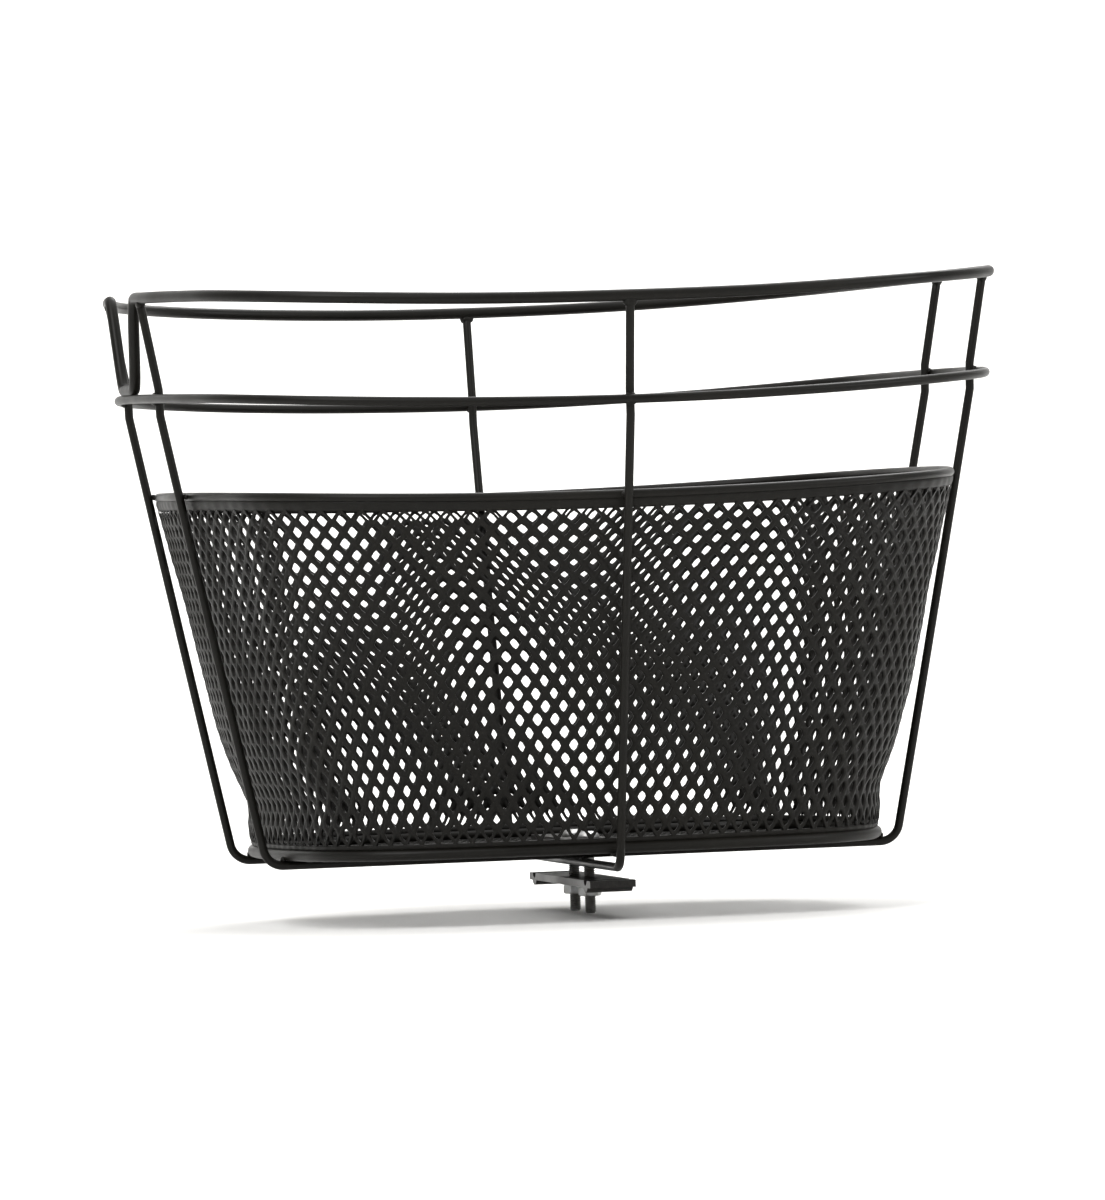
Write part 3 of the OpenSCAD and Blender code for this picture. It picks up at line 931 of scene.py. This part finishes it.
lo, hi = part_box("clamp_nut_left")
nut_lo, nut_hi = lo[2] / MM, hi[2] / MM


def nut(y, name, node, body, turn):
    cx, cy = CLAMP_X, y
    h = nut_hi - nut_lo
    R = 3.5 / math.cos(math.pi / 6)
    n = 72
    verts, faces = [], []
    levels = [0.0, 0.12, 0.3, 0.55, h / 2, h - 0.55, h - 0.3, h - 0.12, h]
    for z in levels:
        dz = min(z, h - z)
        for j in range(n):
            a = 2 * math.pi * j / n
            b = ((a - turn) % (math.pi / 3)) - math.pi / 6
            rh = 3.5 / math.cos(b)
            lim = 3.42 + dz * 1.5
            r = min(rh, lim)
            verts.append(Vector((cx + r * math.cos(a), cy + r * math.sin(a), nut_lo + z)))
    m = len(levels)
    for i in range(m - 1):
        for j in range(n):
            k = (j + 1) % n
            faces.append((i * n + j, i * n + k, (i + 1) * n + k, (i + 1) * n + j))
    # bore with a chamfer at both ends
    ri = BOLT_D / 2 + 0.05
    b0 = len(verts)
    bore = [(ri + 0.35, 0.0), (ri, 0.35), (ri, h - 0.35), (ri + 0.35, h)]
    for r, z in bore:
        for j in range(n):
            a = 2 * math.pi * j / n
            verts.append(Vector((cx + r * math.cos(a), cy + r * math.sin(a), nut_lo + z)))
    for i in range(3):
        for j in range(n):
            k = (j + 1) % n
            faces.append((b0 + i * n + k, b0 + i * n + j, b0 + (i + 1) * n + j, b0 + (i + 1) * n + k))
    for j in range(n):
        k = (j + 1) % n
        faces.append((k, j, b0 + j, b0 + k))
        t = (m - 1) * n
        q = b0 + 3 * n
        faces.append((t + j, t + k, q + k, q + j))
    o = obj_from(name, verts, faces, m_zinc, body=body, replaces=[node])
    o.data.set_sharp_from_angle(angle=math.radians(25))


nut(BOLT_Y, "hex_nut_left", "clamp_nut_left", "nut_left", 0.0)
nut(-BOLT_Y, "hex_nut_right", "clamp_nut_right", "nut_right", 0.0)

# carried-over CAD pieces: bars and washers, with a small worn edge
for node, mat, w in (("floor_plate", m_bar, 0.35), ("clamp_bar", m_bar, 0.35), ("clamp_washer_left", m_zinc, 0.12), ("clamp_washer_right", m_zinc, 0.12)):
    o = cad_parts[node]
    o.data.materials.clear()
    o.data.materials.append(mat)
    bv = o.modifiers.new("edge", "BEVEL")
    bv.width = w * MM
    bv.segments = 3
    bv.limit_method = "ANGLE"
    bv.angle_limit = math.radians(35)
    bv.harden_normals = False

# ---------------------------------------------------------------- stage, camera, light

sc = bpy.context.scene
lo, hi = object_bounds()
floor_z = lo[2] - 0.0006

# seamless pale floor that curves up into a backdrop far behind
fv, ff = [], []
prof = [(-2.6, 0.0), (1.2, 0.0)]
for k in range(1, 25):
    a = math.pi / 2 * k / 24
    prof.append((1.2 + 0.9 * math.sin(a), 0.9 * (1 - math.cos(a))))
prof += [(2.1, 3.2)]
for x in (-4.0, 4.0):
    for y, z in prof:
        fv.append((x, y, z + floor_z))
n = len(prof)
for j in range(n - 1):
    ff.append((j, j + n, j + n + 1, j + 1))
me = bpy.data.meshes.new("studio_floor")
me.from_pydata(fv, [], ff)
for p in me.polygons:
    p.use_smooth = True
floor = bpy.data.objects.new("studio_floor", me)
sc.collection.objects.link(floor)
fm, nt, b = nodes_of("studio_white")
b.inputs["Base Color"].default_value = (0.86, 0.855, 0.84, 1)
b.inputs["Roughness"].default_value = 0.9
me.materials.append(fm)

cam_d = bpy.data.cameras.new("camera")
cam = bpy.data.objects.new("camera", cam_d)
sc.collection.objects.link(cam)
sc.camera = cam
cam_d.lens = 345
cam_d.sensor_width = 36
cam_d.dof.use_dof = False
cam_d.clip_start, cam_d.clip_end = 0.1, 50
cam.location = (-0.735, -3.931, 0.137)
target = Vector((-0.001, 0.0, 0.092))
look = (target - cam.location).to_track_quat("-Z", "Y")
roll = Matrix.Rotation(math.radians(-2.0), 4, "Z")
cam.rotation_mode = "QUATERNION"
cam.rotation_quaternion = (look.to_matrix().to_4x4() @ roll).to_quaternion()

world = bpy.data.worlds.new("studio")
sc.world = world
world.use_nodes = True
bg = world.node_tree.nodes["Background"]
bg.inputs["Color"].default_value = (1.0, 0.995, 0.985, 1)
bg.inputs["Strength"].default_value = 0.72


def area(name, loc, target, size, power, size_y=None):
    d = bpy.data.lights.new(name, "AREA")
    d.shape = "RECTANGLE"
    d.size, d.size_y = size, size_y or size
    d.energy = power
    o = bpy.data.objects.new(name, d)
    sc.collection.objects.link(o)
    o.location = loc
    o.rotation_mode = "QUATERNION"
    o.rotation_quaternion = (Vector(target) - Vector(loc)).to_track_quat("-Z", "Y")
    return o


area("key", (-1.3, -1.5, 1.7), (0, 0, 0.1), 1.2, 32)
area("fill", (1.7, -1.2, 0.9), (0, 0, 0.1), 1.0, 14)
area("rim_light", (0.6, 1.2, 1.4), (0, 0, 0.12), 1.0, 16)
area("backdrop_light", (0.0, 0.4, 2.2), (0, 2.0, 0.6), 2.4, 40)
sc.view_settings.view_transform = "Standard"
sc.view_settings.look = "None"
sc.view_settings.exposure = 0.0
